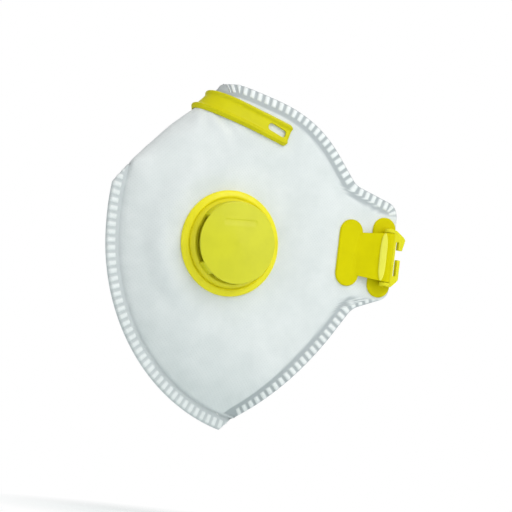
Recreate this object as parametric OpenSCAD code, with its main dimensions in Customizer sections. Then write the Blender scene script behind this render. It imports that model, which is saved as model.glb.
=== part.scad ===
// Fold-flat disposable dust mask with an exhalation valve.
// Worn orientation: +Z is up, the front seam faces -Y and the wearer's left cheek is on +X.
// The origin lies midway between the two strap tabs, on the plane of symmetry.

/* [Mask outline] */
// Radius of the front seam, to the outer edge of its welded fin
seam_r = 85.5; // [83:0.5:88]
// Centre of the front seam's arc, forward (-) of the strap tabs
seam_centre_y = -30; // [-33:0.5:-28]
// Centre of the front seam's arc, below (-) the origin
seam_centre_z = -2; // [-4:0.5:0]
// Angle on the front seam's arc where the folded nose ridge begins
ridge_angle = 171; // [168:0.1:174]
// Angle on the front seam's arc where the chin ends it
chin_angle = 257; // [254:0.5:259]
// Fore-and-aft place of the nose end of the ridge
nose_y = -67; // [-70:0.5:-65]
// Height of the nose end of the ridge
nose_z = 61.5; // [59.5:0.5:63.5]
// Radius of the convex upper face edge
upper_edge_r = 60; // [48:1:68]
// Radius of the convex lower face edge
lower_edge_r = 135; // [90:1:140]
// Radius of the hollow above the strap tab
upper_hollow_r = 8; // [4:0.5:12]
// Radius of the hollow below the strap tab
lower_hollow_r = 10; // [5:0.5:14]
// Rear edge of the strap tab
tab_rear_y = 14; // [13:0.5:15]
// Half the height of the strap tab at its rear edge
tab_half_h = 20; // [19.5:0.5:21.5]
// Radius of the strap tab's rear corners
tab_corner_r = 6; // [3:0.5:8]

/* [Mask form] */
// Bulge of each half beside the front seam
bulge = 8.7; // [7.5:0.1:10]
// Angle by which each half stands off the plane of symmetry
half_angle = 6.8; // [5.5:0.1:8.5]
// Distance over which the fabric curves from the seam to its flat side
curve_reach = 28; // [24:1:34]
// Width of the welded strip round the edges
strip_w = 5.8; // [4.5:0.1:7]
// Thickness of one half in the welded fin
fin_t = 0.5; // [0.4:0.05:0.7]
// Gap between the two halves at the fold
fold_gap = 0.3; // [0.2:0.05:0.4]

/* [Fabric layers] */
// Thickness of the outer spunbond cover
cover_t = 0.35; // [0.25:0.05:0.5]
// Thickness of the stiff support layer
support_t = 1.1; // [0.8:0.05:1.3]
// Thickness of the meltblown filter
filter_t = 0.45; // [0.3:0.05:0.6]
// Thickness of the inner lining
lining_t = 0.3; // [0.2:0.05:0.4]

/* [Nose] */
// Width of the nose clip
clip_w = 9.8; // [8:0.2:11]
// Length of each wing of the nose clip, from ridge to end
clip_wing = 34.5; // [30:0.5:38]
// Slope of the nose clip below the horizontal
clip_slope = 17.5; // [15:0.1:20]
// Gap under the clip and the foam, which the glue fills
glue_gap = 0.35; // [0.3:0.05:0.5]
// Thickness of the clip's web
clip_t = 0.8; // [0.6:0.05:1.2]
// Height of the clip's raised edges above its web
clip_rim_h = 0.8; // [0.5:0.05:1.1]
// Width of the clip's raised edges
clip_rim_w = 1.9; // [1.5:0.1:2.2]
// Diameter of the wires moulded into the raised edges
wire_d = 0.8; // [0.6:0.05:1]
// Length of the slot at each end of the clip
slot_l = 8.5; // [5:0.25:9]
// Width of the slot at each end of the clip
slot_w = 3.2; // [2.5:0.1:4]
// Distance from the slot to the end of the clip
slot_edge = 2; // [1.6:0.1:4]
// Length of each wing of the foam strip inside the nose
foam_wing = 33; // [28:0.5:36]
// Width of the foam strip
foam_w = 11; // [8:0.5:13]
// Thickness of the foam strip
foam_t = 2; // [1.2:0.1:2.4]

/* [Exhalation valve] */
// Fore-and-aft place of the valve's axis
valve_y = -64; // [-66:0.5:-60]
// Height of the valve's axis
valve_z = -7; // [-9:0.5:-5]
// Radius of the valve's outer flange
flange_r = 22.5; // [21.5:0.25:23]
// Thickness of the flange at its rim
flange_rim_t = 1.1; // [0.8:0.1:1.4]
// Thickness of the flange where the cover sits in it
flange_t = 2.3; // [2:0.1:2.8]
// Outer radius of the neck that passes through the fabric
neck_r = 15.5; // [15:0.1:16]
// Wall of the neck
neck_wall = 1.2; // [1:0.1:1.5]
// Radius of the sealing lip under the diaphragm
lip_r = 12.8; // [12.2:0.1:13]
// Height of the sealing lip above the fabric
lip_h = 3; // [2.8:0.1:3.2]
// Radius of the valve diaphragm
flap_r = 13.8; // [13.2:0.1:14.2]
// Thickness of the valve diaphragm
flap_t = 0.4; // [0.3:0.05:0.6]
// Height of the diaphragm's hinge bead above the valve's axis
flap_hinge = 10.2; // [9.6:0.1:10.6]
// Radius of the cover's cap
cap_r = 17.6; // [17.3:0.1:17.9]
// Height of the cap's rim above the fabric
cap_h = 8.6; // [8.2:0.1:9.2]
// Thickness of the cap
cap_t = 1; // [0.8:0.1:1.2]
// Rise of the shallow coned cap at its centre
cap_dome = 1; // [0.6:0.1:1.4]
// Outer radius of the cover's foot ring
cover_foot_r = 19.2; // [19:0.1:19.5]
// Angle that each outlet window spans
window_angle = 70; // [60:1:78]
// Outer radius of the retaining ring inside the mask
ring_r = 20.5; // [19:0.25:21.5]
// Thickness of the retaining ring
ring_t = 1.6; // [1.2:0.1:2]

/* [Strap buckles] */
// Height of the buckles' centre against the origin
strap_z = -3; // [-4:0.1:-2]
// Width of each weld pad
pad_w = 11; // [10:0.25:12]
// Length of the front weld pad
front_pad_l = 29; // [26:0.5:31]
// Length of the rear weld pad
rear_pad_l = 35; // [33:0.5:36]
// Thickness of the weld pads
pad_t = 0.9; // [0.7:0.05:1.1]
// Place of the front pad's centre line
front_pad_y = -7.5; // [-8.5:0.25:-6.5]
// Place of the rear pad's centre line
rear_pad_y = 8.4; // [7.9:0.1:8.9]
// Length of the hinge barrel
barrel_l = 21.3; // [19:0.1:22]
// Radius of the hinge barrel
barrel_r = 2.4; // [2.2:0.05:2.6]
// Place of the hinge barrel's axis
barrel_y = 9.3; // [9:0.1:9.8]
// Height of the hinge barrel's axis above the fabric
barrel_h = 4; // [3.95:0.05:4.3]
// Thickness of the raised web
web_t = 1; // [0.8:0.05:1.2]
// Width of the web where it leaves the front pad
web_front_w = 18.6; // [15:0.1:19]
// Radius of the buckle's hinge pins
pin_r = 1; // [0.8:0.05:1.2]
// Length of each hinge pin
pin_l = 2.2; // [2:0.1:3]
// Thickness of the buckle's arms along the hinge
arm_t = 1.6; // [1.3:0.1:2]
// Thickness of the buckle's plate
buckle_t = 1.6; // [1.3:0.05:1.7]
// Width of the slot that the strap passes through
strap_slot = 1.8; // [1.4:0.05:2.2]
// Width of the outer bar's upper hook
bar_w = 4; // [3.4:0.1:4.6]
// Width of the outer bar's lower hook
lower_bar_w = 2; // [1.8:0.1:2.6]
// Narrowing of the upper hook towards its free end
hook_lean = 1.5; // [1:0.1:1.8]
// Gap in the split outer bar
bar_gap = 4.2; // [3:0.1:6]
// Narrowing of the buckle towards its outer bar, on each side
buckle_taper = 2.4; // [1:0.1:3]
// Angle at which the buckle rests, inward of the tab's plane
buckle_rest = 20; // [14:1:22]

/* [Fits] */
// Radial clearance of the neck in the fabric and of the ring on the neck
neck_fit = 0.1; // [0.05:0.01:0.2]
// Radial clearance of the hinge pins and the diaphragm's bead
pin_fit = 0.05; // [0.03:0.01:0.09]
// Side clearance of the buckle on its barrel
side_fit = 0.2; // [0.1:0.05:0.3]
// Clearance of the diaphragm above its lip
flap_fit = 0.05; // [0.02:0.01:0.1]

/* [Hidden] */
$fn = 96;
cover_white = [0.93, 0.95, 0.95];
layer_white = [0.97, 0.97, 0.95];
plastic_yellow = [0.90, 0.87, 0.05];
layers_t = [cover_t, support_t, filter_t, lining_t];
fabric_t = cover_t + support_t + filter_t + lining_t;
edge_share = 0.34;      // share of the fabric's thickness left in a welded face edge
seam_power = 1.3;       // how squarely the fabric leaves the seam; 1 leaves it at a plain slope
ridge_power = 2;        // 2 makes the ridge's cross-section an ellipse

// ---- Outline of one half, as [y, z] points in the plane of symmetry ----
seam_centre = [seam_centre_y, seam_centre_z];
front_y = seam_centre_y - seam_r;
nose = [nose_y, nose_z];
function on_seam(a) = seam_centre + seam_r * [cos(a), sin(a)];
ridge_foot = on_seam(ridge_angle);
chin = on_seam(chin_angle);
ridge_along = (nose - ridge_foot) / norm(nose - ridge_foot);
ridge_inward = [ridge_along[1], -ridge_along[0]];
nose_cut = 4;           // short square end of the ridge at the nose
chin_cut = 8.5;         // short square end of the seam at the chin
upper_start = nose + nose_cut * [1, 0];
lower_end = chin + chin_cut * [cos(44), sin(44)];
// Corners of the face edge from nose to chin, each [y, z, rounding radius].
face_corners = [
    [upper_start[0], upper_start[1], 0],
    [nose_y + 38.3, nose_z - 9.4, upper_edge_r],
    [tab_rear_y - 21.3, tab_half_h + 6.5, upper_hollow_r],
    [tab_rear_y, tab_half_h, tab_corner_r],
    [tab_rear_y, -tab_half_h, tab_corner_r],
    [tab_rear_y - 16.5, -tab_half_h - 6.8, lower_hollow_r],
    [lower_end[0] + 28.5, lower_end[1] + 34.3, lower_edge_r],
    [lower_end[0], lower_end[1], 0]];

function unit(v) = v / norm(v);
function flat(corner) = [corner[0], corner[1]];
// Points of the arc that rounds a corner, with more of them where the path turns further.
function corner_arc(before, corner, after) =
    let (a = unit(flat(before) - flat(corner)), b = unit(flat(after) - flat(corner)),
         half = acos(a * b) / 2, r = corner[2], middle = flat(corner) + unit(a + b) * r / sin(half),
         from = flat(corner) + a * r / tan(half) - middle, to = flat(corner) + b * r / tan(half) - middle,
         turn = 180 - 2 * half, steps = max(3, ceil(turn / 22)))
    [for (i = [0 : steps]) middle + r * unit(from * sin(turn * (1 - i / steps)) + to * sin(turn * i / steps))];
function rounded(corners) = let (last = len(corners) - 1)
    [flat(corners[0]),
     for (i = [1 : last - 1]) each corner_arc(corners[i - 1], corners[i], corners[i + 1]),
     flat(corners[last])];
face_path = rounded(face_corners);
seam_path = [nose, ridge_foot,
    for (i = [1 : 16]) on_seam(ridge_angle + (chin_angle - ridge_angle) * i / 16)];

// Running length of a path up to each of its points.
function lengths(path, i = 0, sum = 0) = i == len(path) - 1 ? [sum]
    : concat([sum], lengths(path, i + 1, sum + norm(path[i + 1] - path[i])));
function at_length(path, sums, wanted, i = 0) =
    i == len(path) - 2 || wanted <= sums[i + 1]
    ? path[i] + (path[i + 1] - path[i]) * (wanted - sums[i]) / (sums[i + 1] - sums[i])
    : at_length(path, sums, wanted, i + 1);
face_sums = lengths(face_path);
seam_sums = lengths(seam_path);
face_length = face_sums[len(face_sums) - 1];
seam_length = seam_sums[len(seam_sums) - 1];
// Length of the ridge that lies inside the welded strip at its foot.
foot_lean = (ridge_foot - seam_centre) * ridge_along;
foot_in_strip = -foot_lean - sqrt(foot_lean * foot_lean - seam_r * seam_r + pow(seam_r - strip_w, 2));
strip_share = (seam_sums[1] - foot_in_strip) / seam_length;
foot_share = seam_sums[1] / seam_length;
// Rows of the grid join places at the same share of the seam's length and of the face edge's length.
function with_key(shares, key, reach) = concat([for (s = shares) if (s < key - reach) s],
    [key - reach / 2, key + reach / 2], [for (s = shares) if (s > key + reach) s]);
key_shares = with_key(with_key([for (s = face_sums) s / face_length], strip_share, 0.012), foot_share, 0.012);
longest_gap = 0.05;
row_shares = [for (i = [0 : len(key_shares) - 2]) each
        key_shares[i + 1] - key_shares[i] > longest_gap
        ? [key_shares[i], (key_shares[i] + key_shares[i + 1]) / 2] : [key_shares[i]],
    1];
stations = len(row_shares) - 1;
function seam_point(i) = at_length(seam_path, seam_sums, row_shares[i] * seam_length);
function face_point(i) = at_length(face_path, face_sums, row_shares[i] * face_length);

// ---- Form of the fabric: outer face of the left half ----
function side_x(y) = bulge + tan(half_angle) * (y - front_y);
function seam_depth(p) = seam_r - strip_w - norm(p - seam_centre);
function ridge_depth(p) = (p - ridge_foot) * ridge_inward;
touch = 0.01;           // places nearer than this to the fold or the seam count as on it
// Depth from the ridge's fold or the front seam, merged smoothly where the two meet.
function fold_depth(p) = let (a = ridge_depth(p), b = seam_depth(p))
    min(a, b) < touch ? 0 : pow(pow(a, -3) + pow(b, -3), -1 / 3);
function ridge_share(p) = let (a = max(0, ridge_depth(p)), b = max(0, seam_depth(p)))
    b <= 0 ? 0 : pow(b, 3) / (pow(a, 3) + pow(b, 3));
function curved_fullness(p) =
    let (v = min(1, fold_depth(p) / curve_reach), power = seam_power + (ridge_power - seam_power) * ridge_share(p))
    pow(1 - (1 - v) * (1 - v), 1 / power);
valve_hold = 6;         // the stiff valve holds the fabric flat this far beyond its flange
valve_ease = 9;         // and eases into the curve over this further distance
function fullness(p) =
    let (t = min(1, max(0, (norm(p - [valve_y, valve_z]) - flange_r - valve_hold) / valve_ease)))
    1 - (1 - curved_fullness(p)) * t * t * (3 - 2 * t);
function root_x(p) = fold_gap / 2 + fin_t * (1 - ridge_share(p));
function outer_x(p) = root_x(p) + (side_x(p[0]) - root_x(p)) * fullness(p);
probe = 0.05;           // step for measuring the slope of the outer face
function outer_normal(p) = fold_depth(p) <= 0
    ? (seam_depth(p) > touch ? [0, -ridge_inward[0], -ridge_inward[1]] : [1, 0, 0])
    : unit([1, (outer_x(p - [probe, 0]) - outer_x(p + [probe, 0])) / (2 * probe),
            (outer_x(p - [0, probe]) - outer_x(p + [0, probe])) / (2 * probe)]);
// A point at a depth below the outer face; a negative depth stands proud of it.
function below(p, depth) = [outer_x(p), p[0], p[1]] - depth * outer_normal(p);

// ---- Grid of one half: a row per station, a column per place across it ----
inner_columns = [0.03, 0.09, 0.18, 0.32, 0.55, 0.8];
columns = len(inner_columns) + 4;
function row_places(i) =
    let (a = seam_point(i), b = face_point(i), l = norm(b - a), along = (b - a) / l,
         lean = (a - seam_centre) * along, over = pow(norm(a - seam_centre), 2) - pow(seam_r - strip_w, 2),
         front = over > 0 ? min(0.3 * l, -lean - sqrt(lean * lean - over)) : min(0.5, 0.1 * l),
         back = min(strip_w * 1.15, 0.2 * l))
    [for (d = [0, front, for (c = inner_columns) front + (l - front - back) * c, l - back, l]) a + along * d];
grid = [for (i = [0 : stations]) row_places(i)];
// Share of the full thickness that is left by the welds of the front seam and of the face edge.
fin_share = fin_t / fabric_t;
press_reach = 4;        // distance over which the fabric regains its thickness beside the fin
function thickness_share(p, column) =
    min(column >= columns - 2 ? edge_share : 1,
        fin_share + (1 - fin_share) * min(1, max(0, seam_depth(p)) / press_reach));

// One sheet of the left half, between two depths given as shares of the fabric's thickness.
module sheet(from_share, to_share) {
    function face_points(share) = [for (i = [0 : stations], c = [0 : columns - 1])
        below(grid[i][c], share * fabric_t * thickness_share(grid[i][c], c))];
    count = (stations + 1) * columns;
    function id(i, c, side) = i * columns + c + side * count;
    polyhedron(
        points = concat(face_points(from_share), face_points(to_share)),
        faces = [
            for (i = [0 : stations - 1], c = [0 : columns - 2]) each [
                [id(i, c, 0), id(i + 1, c + 1, 0), id(i + 1, c, 0)],
                [id(i, c, 0), id(i, c + 1, 0), id(i + 1, c + 1, 0)],
                [id(i, c, 1), id(i + 1, c, 1), id(i + 1, c + 1, 1)],
                [id(i, c, 1), id(i + 1, c + 1, 1), id(i, c + 1, 1)]],
            for (i = [0 : stations - 1]) each [
                [id(i, 0, 0), id(i + 1, 0, 1), id(i, 0, 1)],
                [id(i, 0, 0), id(i + 1, 0, 0), id(i + 1, 0, 1)],
                [id(i, columns - 1, 0), id(i, columns - 1, 1), id(i + 1, columns - 1, 1)],
                [id(i, columns - 1, 0), id(i + 1, columns - 1, 1), id(i + 1, columns - 1, 0)]],
            for (c = [0 : columns - 2]) each [
                [id(0, c, 0), id(0, c, 1), id(0, c + 1, 1)],
                [id(0, c, 0), id(0, c + 1, 1), id(0, c + 1, 0)],
                [id(stations, c, 0), id(stations, c + 1, 1), id(stations, c, 1)],
                [id(stations, c, 0), id(stations, c + 1, 0), id(stations, c + 1, 1)]]],
        convexity = 6);
}

// ---- Frames on the flat side: +X leaves the mask, +Y runs back along it ----
module on_side(y, z) {
    translate([side_x(y), y, z]) rotate([0, 0, -half_angle]) children();
}
// The valve's own frame: +Z leaves the mask, +Y is up and +X runs back.
module on_valve() {
    on_side(valve_y, valve_z) rotate([90, 0, 90]) children();
}
module valve_hole() {
    reach = fabric_t + 4;
    on_valve() translate([0, 0, -reach]) cylinder(r = neck_r + neck_fit, h = 2 * reach);
}

function sum_to(list, n) = n <= 0 ? 0 : list[n - 1] + sum_to(list, n - 1);
// Layer number index, counted inwards from the outer cover, with the valve's hole on the left half.
module layer(index, left) {
    from_share = sum_to(layers_t, index) / fabric_t;
    to_share = sum_to(layers_t, index + 1) / fabric_t;
    if (left) difference() {
        sheet(from_share, to_share);
        valve_hole();
    }
    else mirror([1, 0, 0]) sheet(from_share, to_share);
}
module outer_cover(left) { color(cover_white) layer(0, left); }
module support_layer(left) { color(layer_white) layer(1, left); }
module filter_layer(left) { color(layer_white) layer(2, left); }
module inner_lining(left) { color(cover_white) layer(3, left); }

// ---- Nose clip: one bendable strip over the ridge, wires in its raised edges ----
clip_along = [cos(-clip_slope), sin(-clip_slope)];
clip_up = [-clip_along[1], clip_along[0]];
clip_drop = 12.2;         // from the nose end of the ridge down to the clip's centre line
clip_root = nose - clip_drop * ridge_along;
clip_steps = [0, 0.2, 0.7, 1.8, 3.6, 6, 9.5, 14, 20, 27];   // places of its sections along each wing
foam_steps = [0, 2, 4.5, 8, 13, 20, 27];
// Place on the left half at a distance from the ridge along the clip's line, and at a height across it.
// The strip's sections lean with the ridge where they cross it, and stand square at its ends.
function wing_place(along, across) =
    let (lean = across / (clip_up * ridge_along) * (ridge_along * clip_along) * (1 - along / clip_wing))
    clip_root + clip_up * across + clip_along * (along + lean);
function wing_point(along, across, depth, side) =
    let (p = below(wing_place(along, across), depth))
    [side * (p[0] - fold_gap / 2), p[1], p[2]];
// Both wings as one run of [distance from the ridge, side], from the right end to the left end.
function wing_run(steps, wing) = let (last = len(steps) - 1)
    [for (i = [last : -1 : 1]) [steps[i] * wing / steps[last], -1],
     for (i = [0 : last]) [steps[i] * wing / steps[last], 1]];
// A strip that follows the fabric: its section is a list of [across, depth] points.
module strip_over_ridge(run, section) {
    n = len(section);
    last = len(run) - 1;
    polyhedron(
        points = [for (r = run, s = section) wing_point(r[0], s[0], s[1], r[1])],
        faces = [
            for (i = [0 : last - 1], k = [0 : n - 1]) each
                let (a = i * n + k, b = i * n + (k + 1) % n) [[a, b + n, b], [a, a + n, b + n]],
            [for (k = [0 : n - 1]) k],
            [for (k = [n - 1 : -1 : 0]) last * n + k]],
        convexity = 6);
}
module clip_slot() {
    centre = wing_place(clip_wing - slot_edge - slot_l / 2, 0);
    on_side(centre[0], centre[1]) rotate([90, 0, 90]) rotate([0, 0, 90 - clip_slope])
        translate([0, 0, -4]) linear_extrude(height = 12) pill(slot_w, slot_l);
}
wire_fit = 0.05;        // gap between a wire and its groove
module nose_clip() {
    inner = -glue_gap;
    web_top = inner - clip_t;
    rim_top = web_top - clip_rim_h;
    shoulder = rim_top + 0.4;
    edge = clip_w / 2;
    rim = edge - clip_rim_w;
    groove_out = edge - clip_rim_w / 2 + wire_d / 2 + wire_fit;
    groove_in = edge - clip_rim_w / 2 - wire_d / 2 - wire_fit;
    groove_top = inner - wire_d - wire_fit;
    // Half of the section, from the middle outwards under the strip and back over its raised edge.
    half = [[groove_in, inner], [groove_in, groove_top], [groove_out, groove_top], [groove_out, inner],
        [edge, inner], [edge, shoulder], [edge - 0.5, rim_top], [rim + 0.5, rim_top], [rim, web_top]];
    last = len(half) - 1;
    color(plastic_yellow) difference() {
        strip_over_ridge(wing_run(clip_steps, clip_wing),
            [for (q = half) q, for (k = [last : -1 : 0]) [-half[k][0], half[k][1]]]);
        for (side = [0, 1]) mirror([side, 0, 0]) clip_slot();
    }
}
// The wires lie in the grooves under the raised edges and stop short of the strip's ends.
module wire_pair() {
    middle = -glue_gap - wire_d / 2;
    across = (clip_w - clip_rim_w) / 2;
    for (side = [-1, 1]) strip_over_ridge(wing_run(clip_steps, clip_wing - 1),
        [for (k = [0 : 5]) [side * across + wire_d / 2 * cos(60 * k), middle - wire_d / 2 * sin(60 * k)]]);
}
module nose_clip_wires() { color("silver") wire_pair(); }
module nose_foam() {
    near = fabric_t + glue_gap;
    far = near + foam_t;
    edge = foam_w / 2;
    color([0.85, 0.86, 0.86]) strip_over_ridge(wing_run(foam_steps, foam_wing),
        [[-edge, near], [-edge + 0.5, far], [edge - 0.5, far], [edge, near]]);
}

// ---- Exhalation valve, drawn in its own frame: +Z out of the mask, +Y up, +X to the rear ----
cover_seat_r = cover_foot_r + 0.1;      // step in the flange that the cover's foot stands in
cover_floor = 1;                        // height of the ledge under the cover's foot
neck_end = -(fabric_t + ring_t + 0.4);  // inner end of the neck, just past the retaining ring
grille_floor = 0.4;
grille_t = 1.5;
grille_hub_r = 3.4;
grille_ring_r = 8;
spoke_w = 1.5;
hinge_h = lip_h + flap_fit + flap_t / 2;
bead_r = 0.6;
// The bead ends short of the inside of the sealing lip.
bead_end = sqrt(pow(lip_r - 0.9, 2) - pow(flap_hinge + bead_r + pin_fit, 2)) - 2 * side_fit;
bead_l = 2 * bead_end;
trough_w = 3;
module arc_wedge(middle, span, reach) {
    polygon([[0, 0], for (k = [-3 : 3]) reach * [cos(middle + span * k / 6), sin(middle + span * k / 6)]]);
}
// A rectangle centred on the origin with semicircular ends, long along Y.
module pill(width, length) {
    for (end = [-1, 1]) translate([0, end * (length - width) / 2]) circle(d = width);
    square([width, length - width], center = true);
}
module annulus(outer, inner) {
    difference() {
        circle(r = outer);
        circle(r = inner);
    }
}
module seat_body() {
    rotate_extrude() polygon([
        [neck_r - neck_wall, neck_end], [neck_r, neck_end], [neck_r, 0], [flange_r, 0],
        [flange_r, flange_rim_t], [flange_r - 0.5, flange_rim_t + 0.4], [cover_seat_r + 0.6, flange_t],
        [cover_seat_r, flange_t - 0.3], [cover_seat_r, cover_floor], [lip_r + 0.7, cover_floor],
        [lip_r, lip_h], [lip_r - 0.7, lip_h], [lip_r - 0.9, grille_floor], [neck_r - neck_wall, -0.4]]);
}
module seat_grille() {
    translate([0, 0, grille_floor]) linear_extrude(height = grille_t) intersection() {
        circle(r = lip_r - 0.5);
        union() {
            for (k = [0 : 5]) rotate(60 * k) translate([0, -spoke_w / 2]) square([lip_r, spoke_w]);
            circle(r = grille_hub_r);
            annulus(grille_ring_r + spoke_w / 2, grille_ring_r - spoke_w / 2);
        }
    }
}
// The top of the seat is closed, and carries the trough for the diaphragm's bead.
module seat_hinge() {
    difference() {
        translate([0, 0, grille_floor]) linear_extrude(height = lip_h - grille_floor) intersection() {
            circle(r = lip_r - 0.5);
            translate([-lip_r, flap_hinge - trough_w / 2]) square([2 * lip_r, lip_r]);
        }
        translate([-bead_l / 2 - side_fit, flap_hinge, hinge_h]) rotate([0, 90, 0])
            cylinder(r = bead_r + pin_fit, h = bead_l + 2 * side_fit);
    }
}
module valve_seat() {
    color(plastic_yellow) on_valve() union() {
        seat_body();
        seat_grille();
        seat_hinge();
    }
}
module valve_retaining_ring() {
    inner_r = neck_r + neck_fit;
    color(plastic_yellow) on_valve() translate([0, 0, -fabric_t - ring_t]) rotate_extrude() polygon([
        [inner_r, 0.5], [inner_r + 0.5, 0], [ring_r - 0.8, 0], [ring_r, 0.6], [ring_r, ring_t],
        [inner_r, ring_t]]);
}
module valve_diaphragm() {
    color([0.93, 0.93, 0.90]) on_valve() union() {
        translate([0, 0, lip_h + flap_fit]) linear_extrude(height = flap_t) difference() {
            circle(r = flap_r);
            translate([-flap_r, flap_hinge]) square([2 * flap_r, flap_r]);
            // The flap is narrower beside its bead, clear of the cover's wall.
            for (side = [-1, 1]) translate([side * (bead_end + 2.5) - 2.5, flap_hinge - 1]) square([5, flap_r]);
        }
        translate([-bead_l / 2, flap_hinge, hinge_h]) rotate([0, 90, 0]) cylinder(r = bead_r, h = bead_l);
    }
}
wall_top_r = cover_foot_r - 1.3;        // the low wall leans in from its foot
window_low = 5;                         // the outlet windows lie between the wall and the cap
cap_under = cap_h - cap_t;
post_r = 0.9;
hinge_line = flap_hinge - 0.6;          // shallow groove in the cap over the diaphragm's bead
hinge_line_l = 15;
dome_power = 1.25;      // between a cone, 1, and a round dome, 2
function dome(share) = cap_dome * (1 - pow(share, dome_power));
module cover_shell() {
    steps = 6;
    shell_top = [for (k = [steps : -1 : 0]) [(cap_r - 0.5) * k / steps, cap_h + dome(k / steps)]];
    shell_under = [for (k = [0 : steps]) [(cap_r - 1.2) * k / steps, cap_under + dome(k / steps)]];
    rotate_extrude() polygon(concat(
        [[cover_foot_r - 1.7, cover_floor], [cover_foot_r, cover_floor], [cover_foot_r, flange_t + 0.2],
         [wall_top_r, window_low], [cap_r - 0.1, cap_under], [cap_r, cap_under], [cap_r, cap_h - 0.4]],
        shell_top, shell_under, [[wall_top_r - 1.1, window_low], [cover_foot_r - 1.7, flange_t + 0.7]]));
}
module valve_cover() {
    color(plastic_yellow) on_valve() union() {
        difference() {
            cover_shell();
            // Outlet windows to the front, below and to the rear; the top stays closed.
            for (middle = [180, 270, 360]) translate([0, 0, window_low])
                linear_extrude(height = cap_under - window_low) difference() {
                    arc_wedge(middle, window_angle, 1.5 * cap_r);
                    circle(r = cap_r - 3);
                }
            translate([-hinge_line_l / 2, hinge_line, cap_h + dome(hinge_line / cap_r) - 0.25])
                cube([hinge_line_l, 0.5, 2]);
        }
        // Posts that keep the diaphragm's bead in its trough.
        for (side = [-1, 1]) translate([side * bead_l * 0.36, flap_hinge, hinge_h + bead_r + flap_fit])
            cylinder(r = post_r, h = cap_h - hinge_h - bead_r - flap_fit);
    }
}

// ---- Strap pads and buckles, drawn on the left tab: +X leaves the mask, +Y runs back ----
module plate_on_tab(thickness) {
    rotate([90, 0, 90]) linear_extrude(height = thickness) children();
}
module weld_pad(y, length) {
    edge = 0.3;
    translate([0, y, 0]) plate_on_tab(pad_t - edge) pill(pad_w, length);
    translate([0, y, 0]) plate_on_tab(pad_t) pill(pad_w - 2 * edge, length - 2 * edge);
}
web_start = front_pad_y + pad_w / 2 - 1.5;
module web() {
    intersection() {
        translate([0, 0, -barrel_l]) linear_extrude(height = 2 * barrel_l) polygon([
            [pad_t / 2, web_start], [pad_t, web_start], [barrel_h + barrel_r - 0.2, barrel_y - 1.2],
            [barrel_h + barrel_r - 0.4 - web_t, barrel_y - 0.8], [pad_t / 2, web_start + 1.6]]);
        plate_on_tab(3 * barrel_h) polygon([
            [web_start, web_front_w / 2], [barrel_y, barrel_l / 2],
            [barrel_y, -barrel_l / 2], [web_start, -web_front_w / 2]]);
    }
}
module strap_pad() {
    foot_w = 1.8;
    on_side(0, strap_z) {
        weld_pad(front_pad_y, front_pad_l);
        weld_pad(rear_pad_y, rear_pad_l);
        web();
        translate([0, barrel_y - foot_w / 2, -barrel_l / 2]) cube([barrel_h, foot_w, barrel_l]);
        translate([barrel_h, barrel_y, -barrel_l / 2]) cylinder(r = barrel_r, h = barrel_l);
        translate([barrel_h, barrel_y, -barrel_l / 2 - pin_l]) cylinder(r = pin_r, h = barrel_l + 2 * pin_l);
    }
}
crossbar_start = barrel_r + 0.3;
crossbar_w = 1.5;
bar_start = crossbar_start + crossbar_w + strap_slot;
buckle_reach = bar_start + bar_w;
arm_outer = barrel_l / 2 + side_fit + arm_t;
gap_shift = 1.9;                        // the gap in the outer bar lies above the buckle's middle
boss_r = 2.2;
module buckle_plate() {
    tip = arm_outer - buckle_taper;
    slot_top = tip - 2.6;
    lower_reach = bar_start + lower_bar_w;
    difference() {
        polygon([
            [0, arm_outer], [crossbar_start + 1, arm_outer], [buckle_reach - 1.2, tip], [buckle_reach, tip - 1.2],
            [buckle_reach - hook_lean, gap_shift + bar_gap / 2], [lower_reach, gap_shift - bar_gap / 2],
            [lower_reach, -tip + 1.2], [lower_reach - 1.2, -tip], [crossbar_start + 1, -arm_outer],
            [0, -arm_outer]]);
        translate([-1, -arm_outer + arm_t]) square([crossbar_start + 1, 2 * (arm_outer - arm_t)]);
        translate([crossbar_start + crossbar_w, -slot_top]) square([strap_slot, 2 * slot_top]);
        translate([bar_start - 0.5, gap_shift - bar_gap / 2]) square([bar_w + 1, bar_gap]);
    }
}
module buckle() {
    on_side(0, strap_z) translate([barrel_h, barrel_y, 0]) rotate([0, 0, buckle_rest]) difference() {
        union() {
            translate([-buckle_t / 2, 0, 0]) plate_on_tab(buckle_t) buckle_plate();
            for (side = [0, 1]) mirror([0, 0, side]) translate([0, 0, arm_outer - arm_t])
                cylinder(r = boss_r, h = arm_t);
        }
        translate([0, 0, -arm_outer - 1]) cylinder(r = pin_r + pin_fit, h = 2 * arm_outer + 2);
    }
}
module strap_pad_left() { color(plastic_yellow) strap_pad(); }
module strap_pad_right() { color(plastic_yellow) mirror([1, 0, 0]) strap_pad(); }
module buckle_left() { color(plastic_yellow) buckle(); }
module buckle_right() { color(plastic_yellow) mirror([1, 0, 0]) buckle(); }

outer_cover(true);  // outer_cover_left
outer_cover(false);  // outer_cover_right
support_layer(true);  // support_layer_left
support_layer(false);  // support_layer_right
filter_layer(true);  // filter_layer_left
filter_layer(false);  // filter_layer_right
inner_lining(true);  // inner_lining_left
inner_lining(false);  // inner_lining_right
nose_clip();
nose_clip_wires();
nose_foam();
valve_seat();
valve_retaining_ring();
valve_diaphragm();
valve_cover();
strap_pad_left();
strap_pad_right();
buckle_left();
buckle_right();
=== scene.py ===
"""Looks of the fold-flat dust mask: fabric shells, nose clip, valve, strap pads, light and camera."""
from contextlib import contextmanager
import math
import bmesh
import bpy
import numpy as np
from mathutils import Matrix, Vector
from numpy.linalg import norm


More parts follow.
